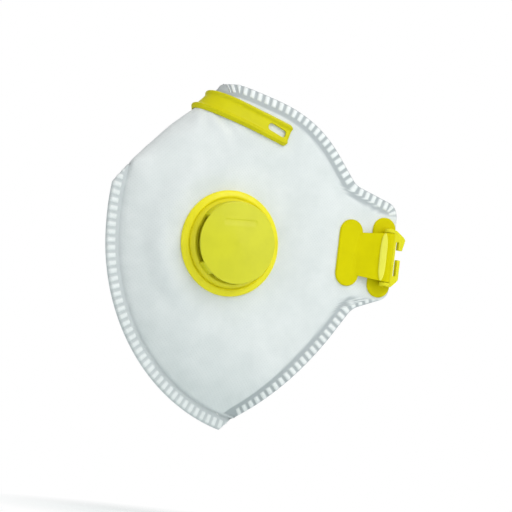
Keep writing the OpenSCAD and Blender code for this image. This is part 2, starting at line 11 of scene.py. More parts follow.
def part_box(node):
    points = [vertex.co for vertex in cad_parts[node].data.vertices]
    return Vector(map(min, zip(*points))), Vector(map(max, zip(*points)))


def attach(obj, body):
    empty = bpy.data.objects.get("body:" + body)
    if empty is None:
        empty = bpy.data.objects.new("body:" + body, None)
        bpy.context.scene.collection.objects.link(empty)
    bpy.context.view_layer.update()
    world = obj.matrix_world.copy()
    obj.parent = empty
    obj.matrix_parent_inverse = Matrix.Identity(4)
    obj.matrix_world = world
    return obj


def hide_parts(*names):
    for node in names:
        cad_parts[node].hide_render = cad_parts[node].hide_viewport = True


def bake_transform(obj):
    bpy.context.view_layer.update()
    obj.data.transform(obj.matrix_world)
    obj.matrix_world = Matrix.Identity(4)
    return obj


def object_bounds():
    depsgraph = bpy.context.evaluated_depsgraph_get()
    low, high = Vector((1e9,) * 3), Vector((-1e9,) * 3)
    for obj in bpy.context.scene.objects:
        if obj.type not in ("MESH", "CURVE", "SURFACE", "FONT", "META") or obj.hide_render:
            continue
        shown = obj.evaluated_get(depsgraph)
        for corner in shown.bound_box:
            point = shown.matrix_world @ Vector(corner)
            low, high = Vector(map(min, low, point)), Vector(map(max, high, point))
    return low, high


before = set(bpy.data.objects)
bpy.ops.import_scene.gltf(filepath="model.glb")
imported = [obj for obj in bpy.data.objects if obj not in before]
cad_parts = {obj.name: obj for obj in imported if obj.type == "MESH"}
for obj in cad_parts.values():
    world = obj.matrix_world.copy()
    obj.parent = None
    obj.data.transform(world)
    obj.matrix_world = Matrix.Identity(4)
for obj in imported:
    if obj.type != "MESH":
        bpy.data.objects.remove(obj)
cad_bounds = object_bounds()
MM = 0.001

# ---- Mask outline, as in the part's source
# Lengths in this section are in millimetres; a place on a half's side is (y, z).
SEAM_R = 85.5
SEAM_CENTRE = np.array([-30.0, -2.0])
RIDGE_ANGLE = 171.0
CHIN_ANGLE = 257.0
NOSE = np.array([-67.0, 61.5])
TAB_REAR_Y = 14.0
TAB_HALF_H = 20.0
STRIP_W = 5.8  # welded strip round the edges
NOSE_CUT = 4.0  # short square end of the ridge at the nose
CHIN_CUT = 8.5  # short square end of the seam at the chin
CHIN_CUT_ANGLE = 44.0
UPPER_EDGE_R = 60.0
UPPER_HOLLOW_R = 8.0
TAB_CORNER_R = 6.0
LOWER_HOLLOW_R = 10.0
LOWER_EDGE_R = 135.0
BULGE = 8.7
HALF_ANGLE = 6.8  # between each half's side and the plane of symmetry
HALF_SLOPE = math.tan(math.radians(HALF_ANGLE))
CURVE_REACH = 28.0
SEAM_POWER = 1.3  # how squarely the fabric leaves the seam
RIDGE_POWER = 2.0  # 2 makes the ridge's section an ellipse
FIN_HALF_T = 0.65  # half the thickness of the welded front fin
FABRIC_T = 2.2
FRONT_Y = SEAM_CENTRE[0] - SEAM_R


def turned_by(degrees):
    a = math.radians(degrees)
    return np.array([math.cos(a), math.sin(a)])


def on_seam(degrees):
    return SEAM_CENTRE + SEAM_R * turned_by(degrees)


RIDGE_FOOT = on_seam(RIDGE_ANGLE)
CHIN = on_seam(CHIN_ANGLE)
RIDGE_LENGTH = norm(NOSE - RIDGE_FOOT)
RIDGE_ALONG = (NOSE - RIDGE_FOOT) / RIDGE_LENGTH
RIDGE_INWARD = np.array([RIDGE_ALONG[1], -RIDGE_ALONG[0]])
UPPER_START = NOSE + NOSE_CUT * turned_by(0)
LOWER_END = CHIN + CHIN_CUT * turned_by(CHIN_CUT_ANGLE)
# Corners of the face edge from nose to chin: (y, z, rounding radius).
FACE_CORNERS = [
    (*UPPER_START, 0), (NOSE[0] + 38.3, NOSE[1] - 9.4, UPPER_EDGE_R),
    (TAB_REAR_Y - 21.3, TAB_HALF_H + 6.5, UPPER_HOLLOW_R), (TAB_REAR_Y, TAB_HALF_H, TAB_CORNER_R),
    (TAB_REAR_Y, -TAB_HALF_H, TAB_CORNER_R), (TAB_REAR_Y - 16.5, -TAB_HALF_H - 6.8, LOWER_HOLLOW_R),
    (LOWER_END[0] + 28.5, LOWER_END[1] + 34.3, LOWER_EDGE_R), (*LOWER_END, 0)]


def unit(v):
    return v / norm(v)


def rounded_path(corners, step=0.4):
    """The outline through rounded corners, as an array of places."""
    places = [np.array(corners[0][:2])]
    for before, corner, after in zip(corners, corners[1:], corners[2:]):
        c = np.array(corner[:2])
        radius = corner[2]
        a = unit(np.array(before[:2]) - c)
        b = unit(np.array(after[:2]) - c)
        half = math.acos(np.clip(a @ b, -1, 1)) / 2
        middle = c + unit(a + b) * radius / math.sin(half)
        start = c + a * radius / math.tan(half) - middle
        end = c + b * radius / math.tan(half) - middle
        turn = math.pi - 2 * half
        count = max(4, int(radius * turn / step))
        for t in np.linspace(0, 1, count):
            spoke = start * math.sin(turn * (1 - t)) + end * math.sin(turn * t)
            places.append(middle + radius * unit(spoke))
    places.append(np.array(corners[-1][:2]))
    return np.array(places)


def running_length(places):
    """Length along a path up to each of its places."""
    return np.concatenate([[0], np.cumsum(norm(np.diff(places, axis=0), axis=1))])


def resample(path, shares):
    """Places at the given shares of a path's length, and the length of the whole path."""
    sums = running_length(path)
    at = np.asarray(shares) * sums[-1]
    return np.stack([np.interp(at, sums, path[:, k]) for k in (0, 1)], axis=-1), sums[-1]


FACE_PATH = rounded_path(FACE_CORNERS)
SEAM_ARC = np.array([on_seam(a) for a in np.linspace(RIDGE_ANGLE, CHIN_ANGLE, 300)])
SEAM_PATH = np.concatenate([[NOSE], SEAM_ARC])
EDGE_PATH = np.concatenate([[NOSE], FACE_PATH])


# ---- Form of the fabric
VALVE = np.array([-64.0, -7.0])  # the valve's axis where it leaves the side
FLANGE_R = 22.5
VALVE_HOLD = 6.0  # the stiff valve holds the fabric flat this far beyond its flange
VALVE_EASE = 9.0  # and eases into the curve over this distance
BOW_ENDS = 0.7  # how far the ridge bows beyond its straight line
BOW_MIDDLE = 1.9  # and how much more between its rise and its fall
BOW_START = (-16.0, 0.0)  # stretches along the ridge, from its foot
BOW_RISE = (-4.0, 20.0)
BOW_FALL = (34.0, 58.0)
BOW_REACH = 26.0  # how far into the half the bow is felt
TOUCH = 1e-3  # places this near the fold or the seam count as on it
ROOT_REACH = 2.5  # the fin's thickness is left behind over this distance from the weld


def smooth(low, high, value):
    """0 up to low, 1 from high on, and an even S between them."""
    t = np.clip((value - low) / (high - low), 0, 1)
    return t * t * (3 - 2 * t)


def side_x(y):
    """How far the flat part of a half's side stands off the plane of symmetry."""
    return BULGE + HALF_SLOPE * (y - FRONT_Y)


def seam_depth(p):
    """How far a place lies inside the welded strip along the seam."""
    return SEAM_R - STRIP_W - norm(p - SEAM_CENTRE, axis=-1)


def ridge_depth(p):
    return (p - RIDGE_FOOT) @ RIDGE_INWARD


def outer_x(p):
    """How far the outer face of a half stands off the plane of symmetry."""
    a = ridge_depth(p)
    b = seam_depth(p)
    safe_a = np.maximum(a, TOUCH / 10)
    safe_b = np.maximum(b, TOUCH / 10)
    depth = np.where(np.minimum(a, b) < TOUCH, 0, (safe_a ** -3 + safe_b ** -3) ** (-1 / 3))
    ridge_share = np.where(b <= 0, 0, safe_b ** 3 / (safe_a ** 3 + safe_b ** 3))
    v = np.clip(depth / CURVE_REACH, 0, 1)
    power = SEAM_POWER + (RIDGE_POWER - SEAM_POWER) * ridge_share
    full = (1 - (1 - v) ** 2) ** (1 / power)
    held_r = FLANGE_R + VALVE_HOLD
    loose = smooth(held_r, held_r + VALVE_EASE, norm(p - VALVE, axis=-1))
    full = 1 - (1 - full) * loose
    root = FIN_HALF_T * (1 - ridge_share * smooth(0, ROOT_REACH, b))
    return root + (side_x(p[..., 0]) - root) * full


def bowed(p):
    """Places on a half once the soft ridge has bowed outwards between the seam and the nose."""
    run = (p - RIDGE_FOOT) @ RIDGE_ALONG
    arch = BOW_ENDS + BOW_MIDDLE * smooth(*BOW_RISE, run) * (1 - smooth(*BOW_FALL, run))
    arch = arch * smooth(*BOW_START, run) * (1 - smooth(0, BOW_REACH, ridge_depth(p)))
    return p - arch[..., None] * RIDGE_INWARD


def path_frame(p, path):
    """Distance from each place to a path, and running length along the path to there."""
    flat = p.reshape(-1, 2)
    sums = running_length(path)
    best = np.full(len(flat), np.inf)
    run = np.zeros(len(flat))
    for start, step, before in zip(path[:-1], np.diff(path, axis=0), sums):
        length = norm(step)
        t = np.clip((flat - start) @ step / length ** 2, 0, 1)
        gap = norm(flat - start - t[:, None] * step, axis=1)
        nearer = gap < best
        best[nearer] = gap[nearer]
        run[nearer] = before + t[nearer] * length
    return best.reshape(p.shape[:-1]), run.reshape(p.shape[:-1])


# The CAD node boxes give the pads' places.
PAD_LOW, PAD_HIGH = (np.array(corner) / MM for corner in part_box("strap_pad_left"))
WELD_EASE = (STRIP_W - 0.5, STRIP_W + 0.9)  # gaps to the edge over which the weld ends
BEAD_PITCH = 3.35
BEAD_SHIFT = 0.6  # the beads' start along each edge
BEAD_L = 3.7
BEAD_W = 1.9
BEAD_FOOT = 0.3  # how far a bead's foot spreads beyond its size
BEAD_SIDE_ROUND = 0.45
BEAD_END_ROUND = 0.55
BEAD_MARGIN = 0.22  # from the outer edge to the beads
BEAD_H = 0.5
BEAD_SHINE = 0.85  # how much paler than loose fabric the beads look
SINK = 0.55  # how far the weld presses the outer face down
FACE_PRESS = 0.93  # how glassy the weld is between the beads
SEAM_PRESS = 0.52
PUCKER_H = 0.1
PUCKER_PITCH = 2.1 * BEAD_PITCH
PUCKER_TOP = 1.5  # from the weld to where the puckers are deepest, and to where they end
PUCKER_REACH = 8.0
WAVE_H = 0.38
WAVE_L = 46.0
DENT_H = 0.5
DENT_AT = NOSE + np.array([-2.0, -17.0])
DENT_R = 7.0
FAN_H = 0.34
FAN_FROM = NOSE - 14.0 * RIDGE_ALONG
FAN_COUNT = 9  # folds per radian of the fan
FAN_R = 13.0  # where the folds are deepest, and how far they spread
FAN_SPREAD = 8.0
OCTAVES = 3
WAVES_EACH = 4


def free_of_fittings(p):
    """1 on free fabric, 0 under the valve's flange and the strap pads, which need a flat seat."""
    valve_gap = norm(p - VALVE, axis=-1) - FLANGE_R
    y, z = p[..., 0], p[..., 1]
    pad_gap = np.maximum.reduce([PAD_LOW[1] - y, y - PAD_HIGH[1], PAD_LOW[2] - z, z - PAD_HIGH[2]])
    return smooth(0.3, 5, valve_gap) * smooth(0.2, 2.5, pad_gap)


def waves(p, seed, size):
    """Smooth bounded noise from a few seeded sine waves."""
    rng = np.random.default_rng(seed)
    total = np.zeros(p.shape[:-1])
    for k in range(OCTAVES * WAVES_EACH):
        finer = 1 + k // WAVES_EACH
        angle = rng.uniform(0, 2 * np.pi)
        length = size * rng.uniform(0.6, 1.6) / finer
        phase = rng.uniform(0, 6.28)
        total += np.sin((p @ [np.cos(angle), np.sin(angle)]) * 2 * np.pi / length + phase) / finer
    return total / (2 * OCTAVES)


def surface_run(run):
    """Running length along the curved fabric's edge, for a running length along its flat outline."""
    shares = np.linspace(0, 1, 1500)
    flat, length = resample(EDGE_PATH, shares)
    places = np.concatenate([outer_x(flat)[:, None], flat], axis=1)
    return np.interp(run, shares * length, running_length(places))


def weld_share(gap):
    """1 on the welded strip and 0 on loose fabric, for a gap to the outer edge."""
    return 1 - smooth(*WELD_EASE, gap)


def bead_share(gap, run):
    """1 on the weld's beads and 0 between them."""
    along = np.abs(((run + BEAD_SHIFT) / BEAD_PITCH) % 1 - 0.5) * BEAD_PITCH
    across = np.abs(gap - BEAD_MARGIN - BEAD_L / 2)
    beside = smooth(BEAD_W / 2 - BEAD_SIDE_ROUND, BEAD_W / 2 + BEAD_FOOT, along)
    beyond = smooth(BEAD_L / 2 - BEAD_END_ROUND, BEAD_L / 2 + BEAD_FOOT, across)
    return (1 - beside) * (1 - beyond)


def puckers(p, gap, run):
    """Small puckers where the loose fabric leaves the weld."""
    top = STRIP_W + PUCKER_TOP
    leave = smooth(STRIP_W, top, gap) * (1 - smooth(top, STRIP_W + PUCKER_REACH, gap))
    return PUCKER_H * leave * np.sin(run * 2 * np.pi / PUCKER_PITCH + 2 * waves(p, 5, 20))


def soft_relief(p, side):
    """Slow waves, dents beside the nose clip and faint folds that fan out below its bend."""
    dent_gap = norm(p - DENT_AT, axis=-1)
    from_bend = p - FAN_FROM
    fan = np.arctan2(from_bend[..., 1], from_bend[..., 0])
    reach = norm(from_bend, axis=-1)
    folds = np.sin(FAN_COUNT * fan + 2 * waves(p, 21 + side, 30))
    folds = folds * np.exp(-((reach - FAN_R) / FAN_SPREAD) ** 2)
    return WAVE_H * waves(p, 11 + side, WAVE_L) - DENT_H * np.exp(-(dent_gap / DENT_R) ** 2) + FAN_H * folds


def relief(p, side):
    """Height of the weld's beads and of the fabric's soft unevenness, and how hard a place is pressed."""
    face_gap, face_run = path_frame(p, EDGE_PATH)
    from_centre = p - SEAM_CENTRE
    seam_gap = SEAM_R - norm(from_centre, axis=-1)
    seam_turn = np.degrees(np.arctan2(from_centre[..., 1], from_centre[..., 0])) % 360
    free = free_of_fittings(p)
    edges = ((face_gap, surface_run(face_run), free, FACE_PRESS),
             (seam_gap, np.radians(seam_turn) * SEAM_R, np.ones_like(free), SEAM_PRESS))
    height = press = np.zeros(p.shape[:-1])
    for gap, run, shy, hard in edges:
        strip = weld_share(gap)
        bead = bead_share(gap, run)
        height = np.where(strip > 0, (BEAD_H * bead - SINK) * strip * shy, height)
        # Below zero on the beads, which look a little paler than loose fabric.
        press = np.where(strip > 0, strip * (1 - bead - bead * BEAD_SHINE) * hard * shy, press)
        height = height + puckers(p, gap, run) * shy
    inside = smooth(2, 12, np.minimum(face_gap, seam_gap)) * free
    return height + inside * soft_relief(p, side), press


# ---- Meshes
def added(name, data):
    """A new object in the scene."""
    obj = bpy.data.objects.new(name, data)
    bpy.context.scene.collection.objects.link(obj)
    return obj


@contextmanager
def editable(obj):
    """The object's mesh, open for editing while the with block lasts."""
    bm = bmesh.new()
    bm.from_mesh(obj.data)
    yield bm
    bm.to_mesh(obj.data)
    bm.free()


def new_object(name, places, faces, materials, face_materials=None, press=None):
    """A smooth object from places in millimetres."""
    mesh = bpy.data.meshes.new(name)
    mesh.from_pydata((np.asarray(places) * MM).tolist(), [], faces)
    for material in materials:
        mesh.materials.append(material)
    if face_materials is not None:
        mesh.polygons.foreach_set("material_index", np.asarray(face_materials, np.int32))
    if press is not None:
        pressed = mesh.attributes.new("press", "FLOAT", "POINT")
        pressed.data.foreach_set("value", np.asarray(press, np.float32))
    mesh.polygons.foreach_set("use_smooth", np.ones(len(mesh.polygons), bool))
    mesh.update()
    return added(name, mesh)


def grid_normals(places):
    """Unit normals of a grid of places, by central differences."""
    u = np.gradient(places, axis=0)
    v = np.gradient(places, axis=1)
    n = np.cross(u, v)
    return n / np.maximum(norm(n, axis=-1, keepdims=True), 1e-9)


def tube_faces(rows):
    """Faces of a closed tube: a row of places per section, and a flat face at each end."""
    index = np.arange(len(rows) * len(rows[0])).reshape(len(rows), -1)
    beside = np.roll(index, -1, axis=1)
    quads = np.stack([index[:-1], index[1:], beside[1:], beside[:-1]], -1).reshape(-1, 4)
    return quads.tolist() + [index[0].tolist(), index[-1, ::-1].tolist()]


def squared(values, power):
    """Sines or cosines of a round section, pushed towards a rounded rectangle."""
    return np.sign(values) * np.abs(values) ** power


def face_outwards(obj):
    with editable(obj) as bm:
        bmesh.ops.recalc_face_normals(bm, faces=bm.faces)


def modified(obj, kind, **settings):
    """Gives the object the mesh that one modifier makes of it."""
    modifier = obj.modifiers.new(kind.lower(), kind)
    for key, value in settings.items():
        setattr(modifier, key, value)
    bpy.context.view_layer.update()
    evaluated = obj.evaluated_get(bpy.context.evaluated_depsgraph_get())
    old = obj.data
    obj.data = bpy.data.meshes.new_from_object(evaluated)
    obj.modifiers.clear()
    bpy.data.meshes.remove(old)


def round_edges(obj, width, segments, angle):
    """Rounds the edges that are sharper than an angle in degrees."""
    modified(obj, "BEVEL", width=width * MM, segments=segments, limit_method="ANGLE",
             angle_limit=math.radians(angle))


def even_normals(obj, keep_sharp=False):
    """Smooth shading that keeps broad faces flat beside rounded edges."""
    obj.data.polygons.foreach_set("use_smooth", np.ones(len(obj.data.polygons), bool))
    modified(obj, "WEIGHTED_NORMAL", keep_sharp=keep_sharp, weight=60)


ROWS = 460
SEAM_COLUMNS = 16
BODY_COLUMNS = 60
EDGE_COLUMNS = 19
RIDGE_BLEND = 9.0  # length of ridge over which the first columns change from seam to ridge
# On the shortest rows each stretch keeps to a share of the row.
MOST_STRIP = 0.3
MOST_FRONT = 0.25
MOST_BACK = 0.35


def half_rows(crotch):
    """Places of one half: a row per share of the seam, from the fold or seam to the face edge.
    With crotch, rows start where the two halves' linings meet instead of at the fin's outer edge."""
    shares = np.linspace(0, 1, ROWS)
    a, seam_length = resample(SEAM_PATH, shares)
    b, _ = resample(FACE_PATH, shares)
    length = norm(b - a, axis=1)
    along = (b - a) / length[:, None]
    from_centre = a - SEAM_CENTRE
    lean = (from_centre * along).sum(1)
    over = (from_centre ** 2).sum(1) - (SEAM_R - STRIP_W) ** 2
    strip_end = np.where(over > 0, -lean - np.sqrt(np.maximum(lean ** 2 - over, 0)), 0)
    strip_end = np.minimum(strip_end, MOST_STRIP * length)
    # 1 on rows that start well up the ridge, 0 on rows that start at the seam.
    on_ridge = smooth(0, RIDGE_BLEND, RIDGE_LENGTH - shares * seam_length)
    if crotch:
        a = a + along * strip_end[:, None]
        length = length - strip_end
        on_ridge = np.ones(ROWS)
    front = strip_end * (1 - on_ridge) + np.minimum(STRIP_W, MOST_FRONT * length) * on_ridge
    even = 1 - on_ridge[:, None]
    back = np.minimum(STRIP_W * 1.3, MOST_BACK * length)
    k = np.linspace(0, 1, SEAM_COLUMNS + 1)
    first = front[:, None] * (even * k + (1 - even) * k ** 2)
    m = np.linspace(0, 1, BODY_COLUMNS + 1)[1:]
    m = m * 0.6 + m ** 2 * 0.4
    body = front[:, None] + (length - front - back)[:, None] * m
    e = np.linspace(0, 1, EDGE_COLUMNS + 1)[1:]
    edge = (length - back)[:, None] + back[:, None] * e
    distance = np.concatenate([first, body, edge], axis=1)
    return a[:, None, :] + along[:, None, :] * distance[..., None]


WELD_T = 0.5  # half the fin's thickness under its outer face
EDGE_T = 0.75  # thickness of the welded face edge


def shell_thickness(p):
    """Thickness of a half's layers under a place of its outer face."""
    face_gap, _ = path_frame(p, FACE_PATH)
    at_seam = WELD_T + (FABRIC_T - WELD_T) * smooth(0, 4, seam_depth(p))
    at_edge = EDGE_T + (FABRIC_T - EDGE_T - SINK) * smooth(STRIP_W - 0.5, STRIP_W + 2.5, face_gap)
    return np.minimum(at_seam, at_edge)


def joined(left, right):
    """One grid from two halves' grids: left face edge, middle, right face edge."""
    return np.concatenate([left[:, :0:-1], right], axis=1)


def both_sides(half):
    """Grid of 3-D places of both halves' outer face."""
    left = np.concatenate([outer_x(half)[..., None], bowed(half)], axis=-1)
    left[:, 0, 0] = 0
    return joined(left, left * [-1, 1, 1])


MIDDLE = SEAM_COLUMNS + BODY_COLUMNS + EDGE_COLUMNS  # the shell grid's column on the fold
LINING_GAP = 0.03  # each lining stays this far from the plane of symmetry
HOLE_R = 15.7  # hole in the left half for the valve's neck
HOLE_PULL = (-1.2, 0.6)  # places this far from its edge are moved onto it
FIN_EASE = (-0.8, 0.2)  # depths over which the beads on the fin give way to the sunk weld
MIDDLE_RELIEF = 0.3  # share of the relief that is left on the fold itself


def outer_face():
    """Places of the cover's outside, the same places on the flat half, and how hard each is pressed."""
    half = half_rows(False)
    surface = both_sides(half)
    flat = joined(half, half)
    left_h, left_press = relief(half, 0)
    right_h, right_press = relief(half, 1)
    height = joined(left_h, right_h)
    height[:, MIDDLE] *= MIDDLE_RELIEF
    # The fin is pressed already, so its beads only rise from it.
    depth = seam_depth(flat)
    raised = np.maximum(height, height + SINK * (1 - smooth(*FIN_EASE, depth)))
    height = np.where(depth < FIN_EASE[1], raised, height)
    outer = surface - grid_normals(surface) * height[..., None]
    outer[:, MIDDLE, 0] = 0
    return outer, flat, joined(left_press, right_press)


def inner_face():
    """Places of the lining's inside, and the same places on the flat half."""
    half = half_rows(True)
    surface = both_sides(half)
    flat = joined(half, half)
    height = joined(relief(half, 0)[0], relief(half, 1)[0])
    depth = shell_thickness(flat) - np.minimum(height, 0) * 0.9
    inner = surface + grid_normals(surface) * depth[..., None]
    inner[:, MIDDLE, 0] = 0
    inner[:, :MIDDLE, 0] = np.maximum(inner[:, :MIDDLE, 0], LINING_GAP)
    inner[:, MIDDLE + 1:, 0] = np.minimum(inner[:, MIDDLE + 1:, 0], -LINING_GAP)
    return inner, flat


def pull_to_hole(grid, flat, on_left):
    """Moves the places just round the neck's hole onto its circle."""
    gap = norm(flat - VALVE, axis=-1) - HOLE_R
    near = on_left & (gap > HOLE_PULL[0]) & (gap < HOLE_PULL[1])
    spoke = grid[..., 1:] - VALVE
    spoke = spoke / np.maximum(norm(spoke, axis=-1, keepdims=True), 1e-6)
    grid[..., 1:] = np.where(near[..., None], VALVE + spoke * HOLE_R, grid[..., 1:])


def shell_walls(index, cell_open):
    """Faces that join the outside to the inside: round the whole sheet, and round the hole."""
    count = index.size
    ring = np.concatenate([index[0, :-1], index[:-1, -1], index[-1, :0:-1], index[:0:-1, 0]])
    walls = [(p, p + count, q + count, q) for p, q in zip(ring, np.roll(ring, -1))]
    holes = np.pad(cell_open, 1)
    for i, j in np.argwhere(cell_open):
        corners = index[i, j], index[i + 1, j], index[i + 1, j + 1], index[i, j + 1]
        neighbours = holes[i + 1, j], holes[i + 2, j + 1], holes[i + 1, j + 2], holes[i, j + 1]
        for s, is_open in enumerate(neighbours):
            if not is_open:
                p, q = corners[s], corners[(s + 1) % 4]
                walls.append((p, q, q + count, p + count))
    return np.array(walls)


def fabric(cover_material, lining_material):
    """The whole fabric as one closed shell with the neck's hole in its left half."""
    outer, flat, press = outer_face()
    inner, inner_flat = inner_face()
    on_left = np.zeros(outer.shape[:2], bool)
    on_left[:, :MIDDLE] = True
    pull_to_hole(outer, flat, on_left)
    pull_to_hole(inner, inner_flat, on_left)
    open_place = on_left & (norm(flat - VALVE, axis=-1) < HOLE_R)
    cell_open = open_place[:-1, :-1] & open_place[1:, :-1] & open_place[:-1, 1:] & open_place[1:, 1:]
    index = np.arange(on_left.size).reshape(on_left.shape)
    a, b = index[:-1, :-1], index[1:, :-1]
    c, d = index[1:, 1:], index[:-1, 1:]
    outer_faces = np.stack([a, d, c, b], -1)[~cell_open]
    inner_faces = np.stack([a, b, c, d], -1)[~cell_open] + index.size
    walls = shell_walls(index, cell_open)
    faces = np.concatenate([outer_faces, inner_faces, walls]).tolist()
    kinds = [0] * len(outer_faces) + [1] * len(inner_faces) + [0] * len(walls)
    places = np.concatenate([outer.reshape(-1, 3), inner.reshape(-1, 3)])
    inner_press = weld_share(path_frame(inner_flat, FACE_PATH)[0])
    press = np.concatenate([press.ravel(), inner_press.ravel()])
    obj = new_object("fabric_shell", places, faces, [cover_material, lining_material], kinds, press)
    with editable(obj) as bm:
        unused = [v for v in bm.verts if not v.link_faces]
        bmesh.ops.delete(bm, geom=unused, context="VERTS")
    return obj


# ---- Strips that follow the fabric over the ridge
CLIP_W = 9.8
CLIP_WING = 34.5
CLIP_SLOPE = 17.5
CLIP_ALONG = turned_by(-CLIP_SLOPE)
CLIP_UP = np.array([-CLIP_ALONG[1], CLIP_ALONG[0]])
CLIP_DROP = 12.2  # from the nose end of the ridge down to the clip's middle line
CLIP_ROOT = NOSE - CLIP_DROP * RIDGE_ALONG
RIDGE_SPREAD = 0.1  # how much wider the strip is where it bends over the ridge
SPREAD_REACH = 20.0
SLOT_L = 8.5
SLOT_W = 3.2
SLOT_ROUND = 1.3
SLOT_EDGE = 2.0  # from the slot to the end of the clip
SLOT_CUT = 8.0  # depth of the cut, well past the clip on both sides
CLIP_UNDER = 0.12  # height of its underside over the fabric
CLIP_LIFT = 0.35
CLIP_T = 0.62
CLIP_ROUND = 0.6
RIM_H = 1.05  # the raised edges: height, place across the clip and half width
RIM_AT = 3.65
RIM_W = 0.85
FALL_FROM = 3.9  # the outer edge falls away from here, over this width
FALL_W = 0.86
WIRE_ACROSS = CLIP_W / 2 - 0.95
WIRE_H = 0.75
WIRE_R = 0.3
FOAM_WING = 33.0
FOAM_HALF_W = 5.4
FOAM_HALF_T = 1.0
FOAM_DEPTH = FABRIC_T + 1.35  # from the cover's outside to the foam's middle
STRIP_STEPS = 64  # sections of a strip along each wing


def wing_place(along, across):
    """Place on a half at a distance from the ridge along the clip's line and at a height across it."""
    across = across * (1 + RIDGE_SPREAD * (1 - smooth(0, SPREAD_REACH, along)))
    lean = across / (CLIP_UP @ RIDGE_ALONG) * (RIDGE_ALONG @ CLIP_ALONG) * (1 - along / CLIP_WING)
    return CLIP_ROOT + CLIP_UP * across[..., None] + CLIP_ALONG * (along + lean)[..., None]


def strip_base(wing, across):
    """Places and normals of the fabric's outer face under a strip: a row per step from left to right."""
    t = np.linspace(0, 1, STRIP_STEPS) ** 1.6 * wing
    run = np.concatenate([t[::-1], t[1:]])
    side = np.concatenate([np.ones(STRIP_STEPS), -np.ones(STRIP_STEPS - 1)])
    shape = (len(run), len(across))
    p = wing_place(np.broadcast_to(run[:, None], shape), np.broadcast_to(across, shape))
    x = outer_x(p)
    x[STRIP_STEPS - 1] = 0
    surface = np.concatenate([(x * side[:, None])[..., None], bowed(p)], axis=-1)
    return run * side, surface, -grid_normals(surface)


def strip(name, wing, section, material, round_end=0.0):
    """A closed strip over the ridge; section(share along the wing) gives its (across, height) values."""
    across, _ = section(0.0)
    even = np.linspace(across.min(), across.max(), 41)
    run, surface, normal = strip_base(wing, even)
    rows = []
    for i, share in enumerate(np.abs(run) / wing):
        where, height = section(share)
        row = [np.interp(where, even, surface[i, :, k]) + np.interp(where, even, normal[i, :, k]) * height
               for k in range(3)]
        rows.append(np.stack(row, axis=-1))
    rows = np.array(rows)
    if round_end:
        # Rounded corners in plan: the last stretch narrows towards the middle line.
        left = np.minimum(wing - np.abs(run), round_end)
        inset = round_end - np.sqrt(round_end ** 2 - (round_end - left) ** 2)
        up = np.array([0, *CLIP_UP])
        off_middle = (rows - rows.mean(axis=1, keepdims=True)) @ up
        rows = rows - (off_middle * (inset / across.max())[:, None])[..., None] * up
    obj = new_object(name, rows.reshape(-1, 3), tube_faces(rows), [material])
    face_outwards(obj)
    return obj


def clip_section(share):
    """Section of the nose clip, the same all along it: raised rounded edges on a thin web."""
    top = np.linspace(CLIP_W / 2, -CLIP_W / 2, 33)
    off = np.abs(top)
    rim = np.exp(-((off - RIM_AT) / RIM_W) ** 2)
    fall = np.sqrt(np.clip(1 - (np.maximum(off - FALL_FROM, 0) / FALL_W) ** 2, 0, 1))
    height = CLIP_LIFT + (CLIP_T + RIM_H * rim) * (0.25 + 0.75 * fall)
    under = np.linspace(-CLIP_W / 2, CLIP_W / 2, 9)
    return np.concatenate([top, under]), np.concatenate([height, np.full(9, CLIP_UNDER)])


def wire_section(centre):
    """Round section of a wire, at a place across the clip."""
    a = np.linspace(0, 2 * np.pi, 12, endpoint=False)
    return lambda share: (centre + WIRE_R * np.cos(a), WIRE_H + WIRE_R * np.sin(a))


def foam_section(share):
    """Section of the foam strip, which thins out at its ends."""
    a = np.linspace(0, 2 * np.pi, 28, endpoint=False)
    half_t = FOAM_HALF_T * (1 - 0.5 * smooth(0.93, 1.0, share))
    return FOAM_HALF_W * squared(np.cos(a), 0.45), -FOAM_DEPTH + half_t * squared(np.sin(a), 0.45)


def cut_slots(clip):
    """Cuts the rounded slot near each end of the clip."""
    run, surface, normal = strip_base(CLIP_WING, np.array([-1.0, 0.0, 1.0]))
    for sign in (1, -1):
        i = int(np.argmin(np.abs(run - sign * (CLIP_WING - SLOT_EDGE - SLOT_L / 2))))
        z_axis = Vector(normal[i, 1])
        y_axis = Vector(surface[i, 2] - surface[i, 0]).normalized()
        x_axis = y_axis.cross(z_axis).normalized()
        y_axis = z_axis.cross(x_axis).normalized()
        turn = Matrix((x_axis, y_axis, z_axis)).transposed().to_4x4()
        bpy.ops.mesh.primitive_cube_add(size=1)
        cutter = bpy.context.object
        cutter.data.transform(Matrix.Diagonal((SLOT_L * MM, SLOT_W * MM, SLOT_CUT * MM, 1)))
        # Only the four edges that run through the clip are rounded.
        weights = cutter.data.attributes.new("bevel_weight_edge", "FLOAT", "EDGE")
        for edge in cutter.data.edges:
            a, b = (cutter.data.vertices[v].co for v in edge.vertices)
            weights.data[edge.index].value = 1.0 if abs(a.z - b.z) > 0.001 else 0.0
        modified(cutter, "BEVEL", width=SLOT_ROUND * MM, segments=5, limit_method="WEIGHT")
        cutter.matrix_world = Matrix.Translation(Vector(surface[i, 1]) * MM) @ turn
        modified(clip, "BOOLEAN", object=cutter, solver="EXACT")
        bpy.data.objects.remove(cutter, do_unlink=True)


def ridden(pieces, node, body):
    """The pieces stand for a CAD node and move with its body."""
    for piece in pieces:
        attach(piece, body)
        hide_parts(node)


def moulded(node, body, material, edge, segments=2):
    """A copy of a CAD node with small rounded edges, as the moulding has."""
    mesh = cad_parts[node].data.copy()
    obj = added(node + "_moulded", mesh)
    mesh.materials.clear()
    mesh.materials.append(material)
    with editable(obj) as bm:
        bmesh.ops.remove_doubles(bm, verts=bm.verts, dist=0.004 * MM)
        bmesh.ops.dissolve_limit(bm, angle_limit=math.radians(0.8), verts=bm.verts, edges=bm.edges)
    round_edges(obj, edge, segments, 38)
    even_normals(obj, True)
    ridden([obj], node, body)


